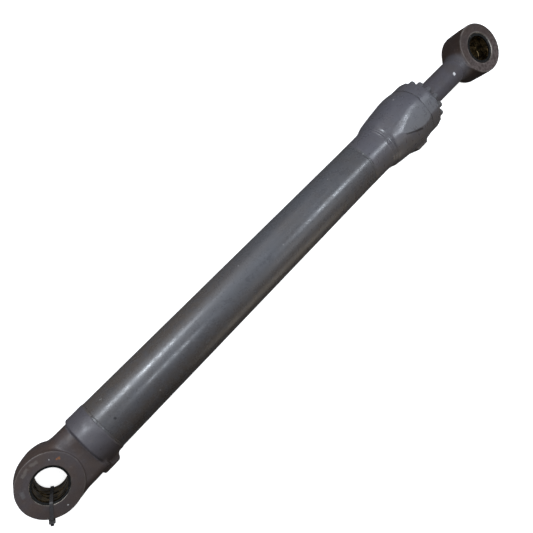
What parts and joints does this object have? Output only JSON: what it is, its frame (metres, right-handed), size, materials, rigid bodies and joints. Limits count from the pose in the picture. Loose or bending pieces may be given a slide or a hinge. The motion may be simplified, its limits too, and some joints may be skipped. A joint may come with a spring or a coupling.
{
  "type": "hydraulic cylinder",
  "caption": "Double-acting hydraulic cylinder for an excavator arm: welded barrel with a pin eye and a flange port at its base, bolted gland, and a sliding rod with a pin eye.",
  "frame": {"origin": "middle of the base pin bore, where the bore's axis crosses the cylinder's axis", "axes": "+X along the cylinder from the base eye to the rod eye; +Z along both pin bores; both oil ports face -Y. The rest pose is fully retracted."},
  "size_m": [2.245, 0.2163, 0.195],
  "materials": {
    "rough_forging": "dull grey-brown paint on a rough forging, with scuffs and rust spots",
    "rod_eye_forging": "dark grey paint, matte, worn bright on the bore's edge",
    "tube_paint": "satin dark grey paint with a purple-brown tint, scratched",
    "head_paint": "satin dark grey paint, thin on the machined edges",
    "weld_paint": "painted weld bead, slightly rippled",
    "bronze": "bearing bronze, oiled and darkened, with grease grooves",
    "black_rubber": "black rubber, greasy",
    "o_ring_rubber": "black nitrile rubber",
    "seal_plastic": "blue-grey polyurethane",
    "zinc_steel": "zinc-plated steel, greasy",
    "black_steel": "blackened steel, bright on the rubbed edges",
    "turned_steel": "turned steel",
    "piston_rod": "ground hard chrome; the stub that stays outside is painted dark grey",
    "cable_tie": "black moulded nylon"
  },
  "bodies": {
    "barrel": {"base_forging": "rough_forging", "base_bush": "bronze", "base_dust_seal_upper": "black_rubber", "base_dust_seal_lower": "black_rubber", "base_grease_nipple": "zinc_steel", "base_weld": "weld_paint", "barrel_tube": "tube_paint", "head_weld": "weld_paint", "head_collar": "head_paint", "cable_tie": "cable_tie", "gland": "head_paint", "rod_bushing": "bronze", "buffer_seal": "seal_plastic", "rod_seal": "seal_plastic", "rod_seal_backup": "seal_plastic", "wiper": "black_rubber", "gland_o_ring": "o_ring_rubber", "gland_backup_ring": "seal_plastic", "gland_bolt_01": "black_steel", "gland_bolt_02": "black_steel", "gland_bolt_03": "black_steel", "gland_bolt_04": "black_steel", "gland_bolt_05": "black_steel", "gland_bolt_06": "black_steel", "gland_bolt_07": "black_steel", "gland_bolt_08": "black_steel", "gland_bolt_09": "black_steel", "gland_bolt_10": "black_steel", "gland_bolt_11": "black_steel", "gland_bolt_12": "black_steel", "gland_bolt_13": "black_steel", "gland_bolt_14": "black_steel", "gland_bolt_15": "black_steel", "gland_bolt_16": "black_steel"},
    "piston_rings": {"piston_wear_ring_base": "seal_plastic", "piston_wear_ring_head": "seal_plastic", "piston_seal": "seal_plastic", "piston_seal_energiser": "o_ring_rubber"},
    "ram": {"piston": "turned_steel", "piston_o_ring": "o_ring_rubber", "piston_nut": "turned_steel", "piston_nut_screw": "black_steel", "cushion_sleeve": "turned_steel", "piston_rod": "piston_rod", "rod_eye": "rod_eye_forging", "rod_eye_bush": "bronze", "rod_dust_seal_upper": "black_rubber", "rod_dust_seal_lower": "black_rubber", "rod_grease_nipple": "zinc_steel"}
  },
  "joints": [
    {"name": "rod_slide", "type": "slide", "parent": "barrel", "child": "piston_rings", "axis": [1, 0, 0], "range_m": [0, 1.24]},
    {"name": "rod_turn", "type": "hinge", "parent": "piston_rings", "child": "ram", "pos_m": [1.8, 0, 0], "axis": [1, 0, 0], "continuous": true}
  ]
}
